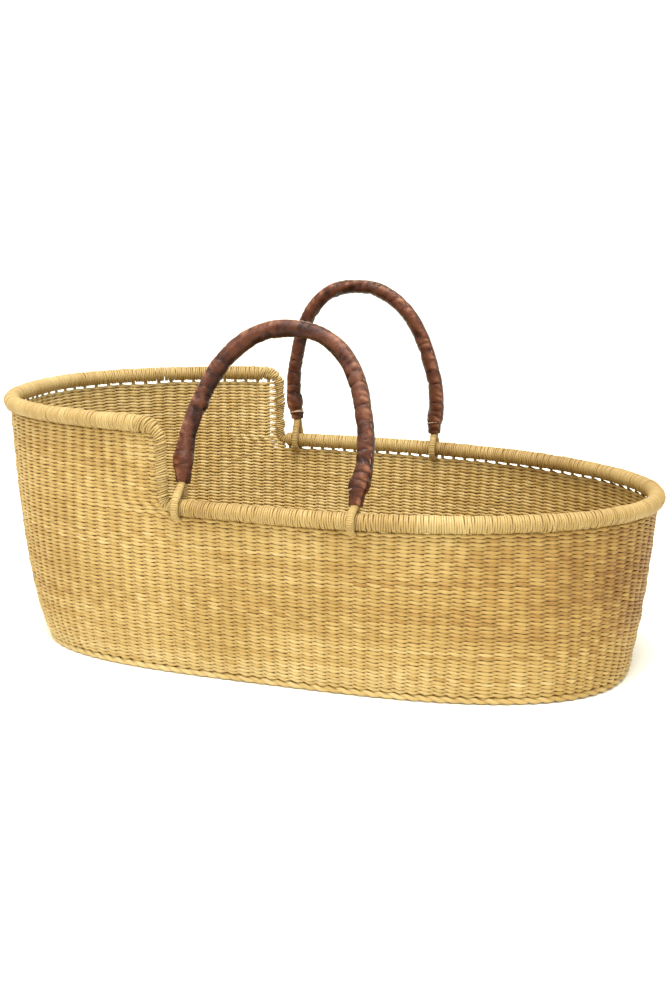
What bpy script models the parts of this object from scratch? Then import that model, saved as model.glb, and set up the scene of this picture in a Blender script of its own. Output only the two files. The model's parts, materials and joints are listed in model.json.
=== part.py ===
"""A woven moses basket with a high head end, a stepped rim and two swinging leather handles.

Metres, +Z up. +X runs from the head end (-X) to the foot end (+X), and -Y is the front.
The origin is on the underside of the base, half way along the outer length of the rims.
"""

import math

import bmesh
import bpy
from mathutils import Matrix, Vector

COLLECTION = "moses_basket"

# Plan of the wall's middle surface, measured from its widest station to each end.
HEAD_LENGTH = 0.369
FOOT_LENGTH = 0.360
HALF_WIDTH = 0.185
HEAD_FLARE = 0.0645
FOOT_FLARE = 0.0286
SIDE_FLARE = 0.0271
FLARE_HEIGHT = 0.290
FLARE_POWER = 0.505
HEAD_ROUNDNESS = (3.65, 2.49)
FOOT_ROUNDNESS = (2.72, 1.79)

# Heights of the rim's centre line, and the step between its two levels.
HEAD_HEIGHT = 0.306
HEAD_DIP = 0.0036
HEAD_DIP_LENGTH = 0.200
FOOT_HEIGHT = 0.2118
STEP_X = {"front": -0.153, "back": -0.158}
UPPER_BEND = 0.020
LOWER_BEND = 0.011
STEP_LEAD = 0.001
UPPER_BEND_STEPS = 4
LOWER_BEND_STEPS = 3
STEP_STATIONS = (0.33, 0.67)

# Rim: a grass core, wound with straw.
RIM_RADIUS = 0.0105
STEP_ROLL_RADIUS = 0.0072
RIM_CORE_RADIUS = 0.0055
RIM_PITCH = 0.032
WRAP_PARTING = 0.0006
WRAP_CLEARANCE = 0.0009

# Wall and base.
WALL_THICKNESS = 0.006
BASE_THICKNESS = 0.006
BRAID_RADIUS = 0.0055
BASE_CLEARANCE = 0.0006
WALL_PITCH = 0.034
WALL_LEVELS = (0.0, 0.04, 0.12, 0.30, 0.62, 1.0)

# Steepest slope of the wall at its foot, which tips the lower outer edge down.
WALL_LEAN = 0.6

# Beside a step, the stakes fan out by this much from the base to the step.
STEP_FAN = 0.006
STEP_JOG = 0.0006

# Stakes are upright up to the first share of the way to an end, and flare from the second.
SIDE_SHARE = 0.50
END_SHARE = 0.80

# Openwork under the rim: bare stakes above the last woven row.
GAP_ROW_HEIGHT = 0.0045
LAST_ROW_HEIGHT = 0.007
STAKE_PITCH = 0.032
STAKE_WIDTH = 0.005
STAKE_THICKNESS = 0.005
STAKE_ROW_INSET = 0.0037

# Handles.
LOOP_X = {"front": (-0.133, 0.0746), "back": (-0.132, 0.0694)}
HANDLE_TILT = {"front": 26.8, "back": -5.3}
HANDLE_SKEW = {"front": 0.0, "back": -0.018}
HANDLE_RISE = 0.2183
HANDLE_LEG = 0.060
HANDLE_SQUARENESS = 2.29
CROWN_STEPS = 14
SKEW_POWER = 1.5
SLEEVE_RADIUS = 0.0100
SLEEVE_END_RADIUS = 0.0083
SLEEVE_WALL = 0.0015
SLEEVE_START = 0.030
SLEEVE_TAPER = 0.011
HANDLE_CORE_RADIUS = 0.0073
SEAM_RADIUS = 0.0007
SEAM_START = 0.050
BINDING_HEIGHT = 0.044
BINDING_WIDTH = 0.003
BINDING_WALL = 0.0014
BINDING_CLEARANCE = 0.0009
LOOP_THICKNESS = 0.0055
LOOP_WIDTH = 0.009
LOOP_CLEARANCE = 0.001
LOOP_TOP = 0.048
LOOP_SHOULDER = 0.028
LOOP_SIDE_CLEARANCE = 0.0015
LOOP_LEAN = 20.0
LOOP_BEND_STEPS = 8
CORE_CLEARANCE = 0.0006
PIVOT_DISPLAY = 0.03

# Clearance between touching pieces.
GAP = 0.0003

SIDES = {"front": -1, "back": 1}

STRAW = (0.72, 0.53, 0.24)
STRAW_RIM = (0.76, 0.58, 0.28)
STRAW_DARK = (0.60, 0.40, 0.15)
GRASS = (0.55, 0.42, 0.20)
LEATHER = (0.10, 0.033, 0.020)
THREAD = (0.42, 0.28, 0.20)
WOVEN_ROUGHNESS = 0.8
WOUND_ROUGHNESS = 0.7
CORE_ROUGHNESS = 0.9
LEATHER_ROUGHNESS = 0.45
SMOOTH_ANGLE = 40.0


def half_sizes(z):
    """Head reach, foot reach, half width and the two corner roundnesses of the wall at a height."""
    level = max(z, 0.0) / FLARE_HEIGHT
    spread = level**FLARE_POWER
    blend = min(level, 1.0)
    head = HEAD_LENGTH + HEAD_FLARE * spread
    foot = FOOT_LENGTH + FOOT_FLARE * spread
    side = HALF_WIDTH + SIDE_FLARE * spread
    head_n = HEAD_ROUNDNESS[0] + (HEAD_ROUNDNESS[1] - HEAD_ROUNDNESS[0]) * blend
    foot_n = FOOT_ROUNDNESS[0] + (FOOT_ROUNDNESS[1] - FOOT_ROUNDNESS[0]) * blend
    return head, foot, side, head_n, foot_n


def origin_shift():
    """How far the widest station stands from the middle of the outer length."""
    head = half_sizes(HEAD_HEIGHT - HEAD_DIP)[0]
    foot = half_sizes(FOOT_HEIGHT)[1]
    return (head - foot) / 2


SHIFT = origin_shift()


def wall_point(angle, z, inset=0.0):
    """A point of the wall's middle surface. Angle 0 is the foot end, pi the head end."""
    c = math.cos(angle)
    s = math.sin(angle)
    head, foot, side, head_n, foot_n = half_sizes(z)
    reach, n = (head, head_n) if c < 0 else (foot, foot_n)
    x = math.copysign((reach - inset) * abs(c) ** (2 / n), c)
    y = math.copysign((side - inset) * abs(s) ** (2 / n), s)
    return Vector((x + SHIFT, y, z))


def angle_at(x, z, side):
    """The wall angle at a distance x from the widest station. The front runs from pi to 2 pi."""
    head, foot, _, head_n, foot_n = half_sizes(z)
    reach, n = (head, head_n) if x < 0 else (foot, foot_n)
    angle = math.acos(math.copysign((abs(x) / reach) ** (n / 2), x))
    return angle if side == "back" else 2 * math.pi - angle


def head_rim_height(angle):
    """The head rim's centre dips a little towards the head end."""
    x = wall_point(angle, HEAD_HEIGHT).x - SHIFT
    share = min(max(-x / HEAD_DIP_LENGTH - 1, 0.0), 1.0)
    return HEAD_HEIGHT - HEAD_DIP * share


def foot_rim_height(angle):
    """The foot rim is level."""
    return FOOT_HEIGHT


def stake_point(angle, start, z, shift=0.0):
    """The wall at height z on the stake that stands at an angle at the start height.

    A stake is upright on the long sides, and follows the flare round the two ends."""
    place = wall_point(angle, start)
    x = place.x - SHIFT
    reach = half_sizes(start)[0 if x < 0 else 1]
    low = half_sizes(z)[0 if x < 0 else 1]
    level = angle_at(min(max(x - shift, -low), low), z, "back" if place.y > 0 else "front")
    level += 2 * math.pi * round((angle - level) / (2 * math.pi))
    share = min(max((abs(x) / reach - SIDE_SHARE) / (END_SHARE - SIDE_SHARE), 0.0), 1.0)
    share = share * share * (3 - 2 * share)
    return wall_point(level + (angle - level) * share, z)


class Run:
    """A stretch of rim between two angles, measured along its length."""

    SAMPLES = 600

    def __init__(self, start, stop, height):
        self.height = height
        self.angles = [start + (stop - start) * i / self.SAMPLES for i in range(self.SAMPLES + 1)]
        places = [wall_point(a, height(a)) for a in self.angles]
        self.lengths = [0.0]
        for before, after in zip(places, places[1:]):
            self.lengths.append(self.lengths[-1] + (after - before).length)
        self.length = self.lengths[-1]

    def angle(self, distance):
        """The wall angle at a distance along the run."""
        for i in range(self.SAMPLES):
            if self.lengths[i + 1] >= distance:
                share = (distance - self.lengths[i]) / (self.lengths[i + 1] - self.lengths[i])
                return self.angles[i] + (self.angles[i + 1] - self.angles[i]) * share
        return self.angles[-1]

    def distance(self, angle):
        """The distance along the run at a wall angle."""
        share = (angle - self.angles[0]) / (self.angles[-1] - self.angles[0]) * self.SAMPLES
        i = min(int(share), self.SAMPLES - 1)
        return self.lengths[i] + (self.lengths[i + 1] - self.lengths[i]) * (share - i)

    def spread(self, pitch):
        """Angles at equal steps along the run, both ends included."""
        count = max(2, round(self.length / pitch))
        return [self.angle(self.length * i / count) for i in range(count + 1)]


def head_run():
    """The head rim, from the back step round the head end to the front step."""
    start = angle_at(STEP_X["back"] - UPPER_BEND, HEAD_HEIGHT, "back")
    stop = angle_at(STEP_X["front"] - UPPER_BEND, HEAD_HEIGHT, "front")
    return Run(start, stop, head_rim_height)


def foot_run():
    """The foot rim, from the front step round the foot end to the back step."""
    start = angle_at(STEP_X["front"] + LOWER_BEND, FOOT_HEIGHT, "front")
    stop = angle_at(STEP_X["back"] + LOWER_BEND, FOOT_HEIGHT, "back") + 2 * math.pi
    return Run(start, stop, foot_rim_height)


def arc(centre_x, centre_z, radius, start, stop, steps):
    """Points of an arc in the (x, z) plane."""
    turns = [start + (stop - start) * i / steps for i in range(steps + 1)]
    return [(centre_x + radius * math.cos(t), centre_z + radius * math.sin(t)) for t in turns]


def step_line(side, offset=0.0):
    """The step's centre line from top to bottom as (x, z), or a line offset to its woven side."""
    x = STEP_X[side]
    outer = UPPER_BEND - offset
    inner = LOWER_BEND + offset
    quarter = math.pi / 2
    upper = arc(x - UPPER_BEND, HEAD_HEIGHT - UPPER_BEND, outer, quarter, 0.0, UPPER_BEND_STEPS)
    lower = arc(
        x + LOWER_BEND, FOOT_HEIGHT + LOWER_BEND, inner, math.pi, 3 * quarter, LOWER_BEND_STEPS
    )
    top = upper[-1][1]
    bottom = lower[0][1]
    middle = [(x - offset, top + (bottom - top) * share) for share in STEP_STATIONS]
    return upper + middle + lower


def on_wall(x, z, side):
    """The wall's middle surface at a distance x from its widest station."""
    return wall_point(angle_at(x, z, side), z)


def material(name, colour, roughness):
    """A plain finish."""
    made = bpy.data.materials.new(name)
    made.use_nodes = True
    shader = made.node_tree.nodes["Principled BSDF"]
    shader.inputs["Base Color"].default_value = (*colour, 1.0)
    shader.inputs["Roughness"].default_value = roughness
    shader.inputs["Metallic"].default_value = 0.0
    return made


def finish_piece(piece, colour, roughness, parent=None):
    """Gives a piece its finish and links it beside the others."""
    piece.data.materials.append(material(piece.name, colour, roughness))
    bpy.data.collections[COLLECTION].objects.link(piece)
    piece.parent = parent
    return piece


def curve_object(name, places, radius, closed=False, caps=True, detail=2, scales=None):
    """A round tube along straight runs between places."""
    curve = bpy.data.curves.new(name, "CURVE")
    curve.dimensions = "3D"
    curve.bevel_depth = radius
    curve.bevel_resolution = detail
    curve.use_fill_caps = caps
    spline = curve.splines.new("POLY")
    spline.points.add(len(places) - 1)
    for i, place in enumerate(places):
        spline.points[i].co = (*place, 1.0)
        spline.points[i].radius = scales[i] if scales else 1.0
    spline.use_cyclic_u = closed
    return bpy.data.objects.new(name, curve)


def mesh_from_curve(piece):
    """The curve's tube as a mesh object of the same name."""
    name = piece.name
    scene = bpy.context.scene.collection
    scene.objects.link(piece)
    piece.name = name + "_line"
    evaluated = piece.evaluated_get(bpy.context.evaluated_depsgraph_get())
    mesh = bpy.data.meshes.new_from_object(evaluated)
    mesh.name = name
    tidy = bmesh.new()
    tidy.from_mesh(mesh)
    bmesh.ops.remove_doubles(tidy, verts=tidy.verts, dist=0.00001)
    tidy.to_mesh(mesh)
    tidy.free()
    bpy.data.objects.remove(piece)
    return bpy.data.objects.new(name, mesh)


def add_thickness(piece, thickness, offset):
    """Solidify: offset -1 grows the wall inwards, 0 to both sides."""
    wall = piece.modifiers.new("wall", "SOLIDIFY")
    wall.thickness = thickness
    wall.offset = offset
    return piece


def shade(piece):
    """Smooth shading with its edges kept."""
    piece.data.shade_smooth()
    piece.data.set_sharp_from_angle(angle=math.radians(SMOOTH_ANGLE))
    return piece


def pipe(name, places, radius, wall, detail=2, scales=None):
    """A tube that is open at both ends, with its wall inside the given radius."""
    line = curve_object(name, places, radius, caps=False, detail=detail, scales=scales)
    return add_thickness(shade(mesh_from_curve(line)), wall, -1.0)


def sheet(name, columns, closed, keep=lambda column, row: True):
    """An open woven sheet from columns of points, each column running upwards."""
    mesh = bpy.data.meshes.new(name)
    grid = bmesh.new()
    corners = [[grid.verts.new(place) for place in column] for column in columns]
    count = len(columns)
    for i in range(count if closed else count - 1):
        left = corners[i]
        right = corners[(i + 1) % count]
        for row in range(len(left) - 1):
            if keep(i, row):
                grid.faces.new((left[row], right[row], right[row + 1], left[row + 1]))
    loose = [corner for corner in grid.verts if not corner.link_faces]
    bmesh.ops.delete(grid, geom=loose, context="VERTS")
    grid.to_mesh(mesh)
    grid.free()
    return bpy.data.objects.new(name, mesh)


def row_depth():
    """How far the openwork row and the last woven row reach below the rim's centre."""
    return RIM_RADIUS + GAP + GAP_ROW_HEIGHT + LAST_ROW_HEIGHT


def loop_centre_radius():
    """Radius of a rim loop's middle line round the rim's centre."""
    return RIM_RADIUS + LOOP_CLEARANCE + LOOP_THICKNESS / 2


def base_panel():
    """The flat woven base inside the edge braid."""
    inset = BRAID_RADIUS + BASE_CLEARANCE
    angles = Run(0.0, 2 * math.pi, lambda angle: BRAID_RADIUS).spread(RIM_PITCH)[:-1]
    curve = bpy.data.curves.new("base_panel", "CURVE")
    curve.dimensions = "2D"
    curve.fill_mode = "BOTH"
    curve.extrude = BASE_THICKNESS / 2
    outline = curve.splines.new("POLY")
    outline.points.add(len(angles) - 1)
    for point, angle in zip(outline.points, angles):
        place = wall_point(angle, BRAID_RADIUS, inset)
        point.co = (place.x, place.y, 0.0, 1.0)
    outline.use_cyclic_u = True
    piece = bpy.data.objects.new("base_panel", curve)
    piece.location.z = BASE_THICKNESS / 2
    return finish_piece(piece, STRAW_DARK, WOVEN_ROUGHNESS)


def base_edge_braid():
    """The rope braid round the base, which the wall grows from."""
    angles = Run(0.0, 2 * math.pi, lambda angle: BRAID_RADIUS).spread(RIM_PITCH)[:-1]
    places = [wall_point(angle, BRAID_RADIUS) for angle in angles]
    braid = curve_object("base_edge_braid", places, BRAID_RADIUS, closed=True)
    return finish_piece(shade(mesh_from_curve(braid)), STRAW, WOVEN_ROUGHNESS)


def wall_top():
    """The wall's stakes as (angle, height it is read at, top, lean of the foot), once round."""
    drop = row_depth() + GAP
    offset = STEP_ROLL_RADIUS + GAP
    tops = []

    def add_run(run):
        for angle in run.spread(WALL_PITCH):
            tops.append((angle, run.height(angle), run.height(angle) - drop, 0.0))

    def add_step(side, turn):
        line = step_line(side, offset)
        start = STEP_X[side] - UPPER_BEND
        stop = STEP_X[side] + LOWER_BEND
        width = UPPER_BEND - offset
        bottom = FOOT_HEIGHT + LOWER_BEND
        tall = HEAD_HEIGHT - UPPER_BEND - bottom
        places = []
        for x, z in line:
            share = (x - start) / width if z > bottom + tall else (z - bottom) / tall
            fan = STEP_FAN * min(max(share, 0.0), 1.0)
            x = min(max(x, start + STEP_JOG), stop - STEP_JOG)
            places.append((angle_at(x, z, side) + turn, z, z, fan))
        if side == "back":
            places.reverse()
        tops.extend(places)

    add_run(head_run())
    add_step("front", 0.0)
    add_run(foot_run())
    add_step("back", 2 * math.pi)
    return tops


def woven_wall():
    """The side wall: one woven sheet from the base braid up to the openwork row and the steps."""
    foot = 2 * BRAID_RADIUS + GAP + WALL_LEAN * WALL_THICKNESS / 2
    columns = []
    for angle, start, top, lean in wall_top():
        column = []
        for share in WALL_LEVELS:
            z = foot + (top - foot) * share
            column.append(stake_point(angle, start, z, lean * (1 - share)))
        columns.append(column)
    piece = add_thickness(shade(sheet("woven_wall", columns, closed=True)), WALL_THICKNESS, 0.0)
    return finish_piece(piece, STRAW, WOVEN_ROUGHNESS)


def stake_row(name, run, notches):
    """The last woven row with the bare stakes that cross the gap under the rim.

    A notch is a stretch of the run where a handle's loop passes under the rim."""
    count = round(run.length / STAKE_PITCH)
    half = STAKE_WIDTH / 2
    reach = run.length - 2 * STAKE_ROW_INSET
    stakes = [STAKE_ROW_INSET + reach * i / count for i in range(count + 1)]
    cells = [(start, stop, "notch") for start, stop in notches]
    for middle in stakes:
        if all(middle + half < start or middle - half > stop for start, stop in notches):
            cells.append((middle - half, middle + half, "stake"))
    cells.sort()
    edges = []
    kinds = []
    for start, stop, kind in cells:
        if edges and start - edges[-1] > GAP:
            kinds.append("gap")
            edges.append(start)
        if not edges:
            edges.append(start)
        edges.append(stop)
        kinds.append(kind)
    notch = loop_centre_radius() + LOOP_THICKNESS / 2 + LOOP_CLEARANCE
    rise = RIM_RADIUS + GAP
    drops = (row_depth(), notch, rise + GAP_ROW_HEIGHT, rise)
    columns = []
    for distance in edges:
        angle = run.angle(distance)
        height = run.height(angle)
        columns.append([stake_point(angle, height, height - drop) for drop in drops])

    def keep(column, row):
        kind = kinds[column]
        return row == 0 or (row == 1 and kind != "notch") or (row == 2 and kind == "stake")

    piece = sheet(name, columns, closed=False, keep=keep)
    add_thickness(shade(piece), STAKE_THICKNESS, 0.0)
    return finish_piece(piece, STRAW, WOVEN_ROUGHNESS)


def loop_notches(run):
    """Where the four rim loops pass, as stretches of the foot run."""
    half = LOOP_WIDTH / 2 + LOOP_SIDE_CLEARANCE
    notches = []
    for side in SIDES:
        for x in LOOP_X[side]:
            turn = 2 * math.pi if side == "back" else 0.0
            middle = run.distance(angle_at(x, FOOT_HEIGHT, side) + turn)
            notches.append((middle - half, middle + half))
    return notches


def rim_places(run):
    """Centre points of a level rim run."""
    return [wall_point(angle, run.height(angle)) for angle in run.spread(RIM_PITCH)]


def step_places(side):
    """Centre points of a step, from top to bottom, with a short level lead at each end."""
    line = step_line(side)
    line.insert(1, (line[0][0] + STEP_LEAD, line[0][1]))
    line.insert(-1, (line[-1][0] - STEP_LEAD, line[-1][1]))
    return [on_wall(x, z, side) for x, z in line]


def rim_core():
    """The grass bundle inside the whole rim, one closed ring."""
    places = rim_places(head_run()) + step_places("front")[1:-1]
    places += rim_places(foot_run()) + step_places("back")[-2:0:-1]
    core = curve_object("rim_core", places, RIM_CORE_RADIUS, closed=True, detail=1)
    return finish_piece(shade(mesh_from_curve(core)), GRASS, CORE_ROUGHNESS)


def pulled_back(places, distance):
    """The same line with both ends moved in by a distance."""
    start = places[0] + (places[1] - places[0]).normalized() * distance
    stop = places[-1] + (places[-2] - places[-1]).normalized() * distance
    return [start, *places[1:-1], stop]


def rim_wraps():
    """The straw winding over the core: two level stretches and the two steps."""
    inner = RIM_CORE_RADIUS + WRAP_CLEARANCE
    stretches = {
        "head_rim_wrap": (rim_places(head_run()), RIM_RADIUS),
        "foot_rim_wrap": (rim_places(foot_run()), RIM_RADIUS),
        "front_step_wrap": (step_places("front"), STEP_ROLL_RADIUS),
        "back_step_wrap": (step_places("back"), STEP_ROLL_RADIUS),
    }
    for name, (places, radius) in stretches.items():
        piece = pipe(name, pulled_back(places, WRAP_PARTING), radius, radius - inner)
        finish_piece(piece, STRAW_RIM, WOUND_ROUGHNESS)


def skewed(skew, height):
    """How far a handle leans sideways in its own plane at a height above the hinge."""
    return skew * max(height / HANDLE_RISE, 0.0) ** SKEW_POWER


def arch_line(span, skew, start):
    """A handle's middle line in its own plane, from one leg over the top to the other leg."""
    half = span / 2
    heights = [h for h in (SLEEVE_START + SLEEVE_TAPER, SEAM_START) if h > start]
    leg = [start, *heights, HANDLE_LEG]
    power = 2 / HANDLE_SQUARENESS
    crown = [math.pi * (1 - i / CROWN_STEPS) for i in range(1, CROWN_STEPS)]
    points = [(-half, h) for h in leg]
    for turn in crown:
        x = math.copysign(half * abs(math.cos(turn)) ** power, math.cos(turn))
        points.append((x, HANDLE_LEG + (HANDLE_RISE - HANDLE_LEG) * math.sin(turn) ** power))
    points += [(half, h) for h in reversed(leg)]
    return [Vector((x + skewed(skew, h), 0.0, h)) for x, h in points]


def offset_line(places, distance):
    """The line moved outwards in its own plane."""
    moved = []
    for i, place in enumerate(places):
        before = places[max(i - 1, 0)]
        after = places[min(i + 1, len(places) - 1)]
        along = (after - before).normalized()
        moved.append(place + Vector((-along.z, 0.0, along.x)) * distance)
    return moved


def handle_pivot(side):
    """An empty on the hinge axis between the two rim loops: X along the axis, Z up the handle."""
    left, right = (on_wall(x, FOOT_HEIGHT, side) for x in LOOP_X[side])
    along = (right - left).normalized()
    inward = Vector((0.0, 0.0, 1.0)).cross(along) * -SIDES[side]
    tilt = math.radians(HANDLE_TILT[side])
    up = Vector((0.0, 0.0, 1.0)) * math.cos(tilt) + inward * math.sin(tilt)
    across = up.cross(along)
    turned = Matrix((along, across, up)).transposed().to_4x4()
    pivot = bpy.data.objects.new(side + "_handle_pivot", None)
    pivot.empty_display_size = PIVOT_DISPLAY
    pivot.matrix_world = Matrix.Translation((left + right) / 2) @ turned
    bpy.data.collections[COLLECTION].objects.link(pivot)
    return pivot, (right - left).length


def rim_loop(name, x, skew, pivot):
    """A wound grass strap: down one side of the rim, under it and up the other side."""
    radius = loop_centre_radius()
    lean = math.radians(LOOP_LEAN)
    sweep = math.pi + 2 * lean
    turns = [lean - sweep * i / LOOP_BEND_STEPS for i in range(LOOP_BEND_STEPS + 1)]
    bend = [(radius * math.cos(t), radius * math.sin(t)) for t in turns]
    apart = LOOP_THICKNESS / 2 + GAP
    line = [(apart, LOOP_TOP), (apart, LOOP_SHOULDER), *bend]
    line += [(-apart, LOOP_SHOULDER), (-apart, LOOP_TOP)]
    places = [Vector((skewed(skew, z), y, z)) for y, z in line]
    strap = mesh_from_curve(curve_object(name, places, LOOP_THICKNESS / 2, detail=1))
    strap.data.transform(Matrix.Diagonal((LOOP_WIDTH / LOOP_THICKNESS, 1.0, 1.0, 1.0)))
    strap.data.transform(Matrix.Translation((x, 0.0, 0.0)))
    return finish_piece(shade(strap), STRAW_RIM, WOUND_ROUGHNESS, pivot)


def handle(side):
    """One handle: grass core, leather sleeve, seam lacing, two thread bindings and two rim loops."""
    pivot, span = handle_pivot(side)
    skew = HANDLE_SKEW[side]
    name = side + "_handle_"
    core_line = arch_line(span, skew, LOOP_TOP + CORE_CLEARANCE)
    core = curve_object(name + "core", core_line, HANDLE_CORE_RADIUS, detail=1)
    finish_piece(shade(mesh_from_curve(core)), GRASS, CORE_ROUGHNESS, pivot)

    line = arch_line(span, skew, SLEEVE_START)
    narrow = SLEEVE_END_RADIUS / SLEEVE_RADIUS
    scales = [narrow, *[1.0] * (len(line) - 2), narrow]
    sleeve = pipe(name + "leather_sleeve", line, SLEEVE_RADIUS, SLEEVE_WALL, scales=scales)
    finish_piece(sleeve, LEATHER, LEATHER_ROUGHNESS, pivot)

    outwards = SLEEVE_RADIUS + GAP + SEAM_RADIUS
    seam_line = offset_line(arch_line(span, skew, SEAM_START), outwards)
    seam = curve_object(name + "seam_lacing", seam_line, SEAM_RADIUS, detail=0)
    finish_piece(shade(mesh_from_curve(seam)), THREAD, WOUND_ROUGHNESS, pivot)

    heights = (BINDING_HEIGHT - BINDING_WIDTH / 2, BINDING_HEIGHT + BINDING_WIDTH / 2)
    outer = SLEEVE_RADIUS + BINDING_CLEARANCE + BINDING_WALL
    for end, x in (("left", -span / 2), ("right", span / 2)):
        places = [Vector((x + skewed(skew, h), 0.0, h)) for h in heights]
        binding = pipe(name + end + "_binding", places, outer, BINDING_WALL, detail=4)
        finish_piece(binding, THREAD, WOUND_ROUGHNESS, pivot)
        rim_loop(name + end + "_rim_loop", x, skew, pivot)


def build():
    """Clears the scene and makes every piece."""
    for old in list(bpy.data.objects):
        bpy.data.objects.remove(old)
    bpy.context.scene.collection.children.link(bpy.data.collections.new(COLLECTION))
    base_panel()
    base_edge_braid()
    woven_wall()
    foot = foot_run()
    stake_row("head_stake_row", head_run(), [])
    stake_row("foot_stake_row", foot, loop_notches(foot))
    rim_core()
    rim_wraps()
    for side in SIDES:
        handle(side)


build()
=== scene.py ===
"""A woven moses basket: twined straw, a stepped rim wound with straw and two leather handles.

Metres, +Z up. +X runs from the head end to the foot end, and the front faces -Y.
"""

import json
import math

import bpy
import numpy as np
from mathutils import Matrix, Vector


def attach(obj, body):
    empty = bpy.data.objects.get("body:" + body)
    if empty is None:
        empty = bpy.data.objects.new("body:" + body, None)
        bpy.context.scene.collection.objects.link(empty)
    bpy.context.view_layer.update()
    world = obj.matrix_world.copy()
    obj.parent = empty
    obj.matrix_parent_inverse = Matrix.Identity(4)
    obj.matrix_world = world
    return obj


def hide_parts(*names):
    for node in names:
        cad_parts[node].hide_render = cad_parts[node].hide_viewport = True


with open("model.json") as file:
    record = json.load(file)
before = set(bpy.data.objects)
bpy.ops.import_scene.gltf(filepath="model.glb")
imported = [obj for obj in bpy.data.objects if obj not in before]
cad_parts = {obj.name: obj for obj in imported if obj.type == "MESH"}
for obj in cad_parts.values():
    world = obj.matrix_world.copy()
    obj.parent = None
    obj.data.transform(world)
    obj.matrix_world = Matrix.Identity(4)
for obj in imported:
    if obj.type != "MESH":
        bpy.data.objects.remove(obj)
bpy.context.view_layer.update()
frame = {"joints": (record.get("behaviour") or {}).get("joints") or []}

bl_info = {
    "name": "Moses basket",
    "version": (1, 0, 0),
    "blender": (4, 5, 0),
    "location": "3D View > Sidebar > Basket",
    "description": "Weaves a straw moses basket with a stepped rim and leather handles",
    "category": "Add Mesh",
}

# The wall's middle surface, measured from its widest station to each end.
HEAD_LENGTH = 0.369
FOOT_LENGTH = 0.360
HALF_WIDTH = 0.185
HEAD_FLARE = 0.0645
FOOT_FLARE = 0.0286
SIDE_FLARE = 0.0271
FLARE_HEIGHT = 0.290
FLARE_POWER = 0.505
HEAD_ROUNDNESS = (3.65, 2.49)
FOOT_ROUNDNESS = (2.72, 1.79)

# Heights of the rim's centre line, and the step between its two levels.
HEAD_HEIGHT = 0.306
HEAD_DIP = 0.0036
HEAD_DIP_LENGTH = 0.200
FOOT_HEIGHT = 0.2118
STEP_X = {"front": -0.153, "back": -0.158}
UPPER_BEND = 0.020
LOWER_BEND = 0.011
RIM_RADIUS = 0.0097
STEP_RADIUS = 0.0070
BRAID_RADIUS = 0.0055
BACK_GAP = 0.0026
FRONT_GAP = 0.0006
FOOT_TOP = FOOT_HEIGHT - RIM_RADIUS - BACK_GAP
HEAD_TOP = HEAD_HEIGHT - RIM_RADIUS - BACK_GAP
WALL_FOOT = 0.0096

# Stakes keep their place along the sides up to the first share of the way to an end.
SIDE_SHARE = 0.50
END_SHARE = 0.80

# Handles.
LOOP_X = {"front": (-0.133, 0.0746), "back": (-0.132, 0.0694)}
HANDLE_TILT = {"front": 26.8, "back": -5.3}
HANDLE_SKEW = {"front": 0.0, "back": -0.018}
HANDLE_RISE = 0.2183
HANDLE_LEG = 0.060
HANDLE_SQUARENESS = 2.29
SKEW_POWER = 1.5
SLEEVE_ENDS = {"front": (0.0290, 0.0175), "back": (0.0305, 0.0210)}
BINDINGS = {"front": (0.0490, 0.0340), "back": (0.0390, 0.0350)}
HANDLE_BOW = 0.0035
BINDING_TURNS = 2
BINDING_RADIUS = 0.0098
THREAD_RADIUS = 0.0007
LOOP_RADIUS = 0.01425
LOOP_APART = 0.0031
FORK_ROOM = 0.0075

SIDES = {"front": -1, "back": 1}
WELD = 0.00001
SEED = 20


def smooth(share):
    """Eases a share between 0 and 1."""
    share = np.clip(share, 0.0, 1.0)
    return share * share * (3 - 2 * share)


def drift(x, spacing, seed, knots=4099):
    """A value between -1 and 1 that wanders along x, with a new aim at each spacing."""
    aims = np.random.default_rng(SEED + seed).uniform(-1, 1, knots)
    place = np.asarray(x, float) / spacing
    low = np.floor(place).astype(int)
    return aims[low % knots] + (aims[(low + 1) % knots] - aims[low % knots]) * smooth(place - low)


def half_sizes(z):
    """Head reach, foot reach, half width and the two corner roundnesses of the wall at a height."""
    level = np.maximum(z, 0.0) / FLARE_HEIGHT
    spread = level**FLARE_POWER
    blend = np.minimum(level, 1.0)
    head = HEAD_LENGTH + HEAD_FLARE * spread
    foot = FOOT_LENGTH + FOOT_FLARE * spread
    side = HALF_WIDTH + SIDE_FLARE * spread
    head_n = HEAD_ROUNDNESS[0] + (HEAD_ROUNDNESS[1] - HEAD_ROUNDNESS[0]) * blend
    foot_n = FOOT_ROUNDNESS[0] + (FOOT_ROUNDNESS[1] - FOOT_ROUNDNESS[0]) * blend
    return head, foot, side, head_n, foot_n


SHIFT = float(half_sizes(HEAD_HEIGHT - HEAD_DIP)[0] - half_sizes(FOOT_HEIGHT)[1]) / 2


def wall(angle, z, inset=0.0):
    """Points of the wall's middle surface. Angle 0 is the foot end, pi the head end."""
    c = np.cos(angle)
    s = np.sin(angle)
    head, foot, side, head_n, foot_n = half_sizes(z)
    reach = np.where(c < 0, head, foot)
    n = np.where(c < 0, head_n, foot_n)
    x = np.copysign((reach - inset) * np.abs(c) ** (2 / n), c) + SHIFT
    y = np.copysign((side - inset) * np.abs(s) ** (2 / n), s)
    return np.stack(np.broadcast_arrays(x, y, z), axis=-1)


def angle_at(x, z, back):
    """The wall angle at a distance x from the widest station, on the back or the front side."""
    head, foot, _, head_n, foot_n = half_sizes(z)
    reach = np.where(x < 0, head, foot)
    n = np.where(x < 0, head_n, foot_n)
    share = np.minimum(np.abs(x) / reach, 1.0)
    angle = np.arccos(np.copysign(share ** (n / 2), x))
    return np.where(back, angle, 2 * math.pi - angle)


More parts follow.
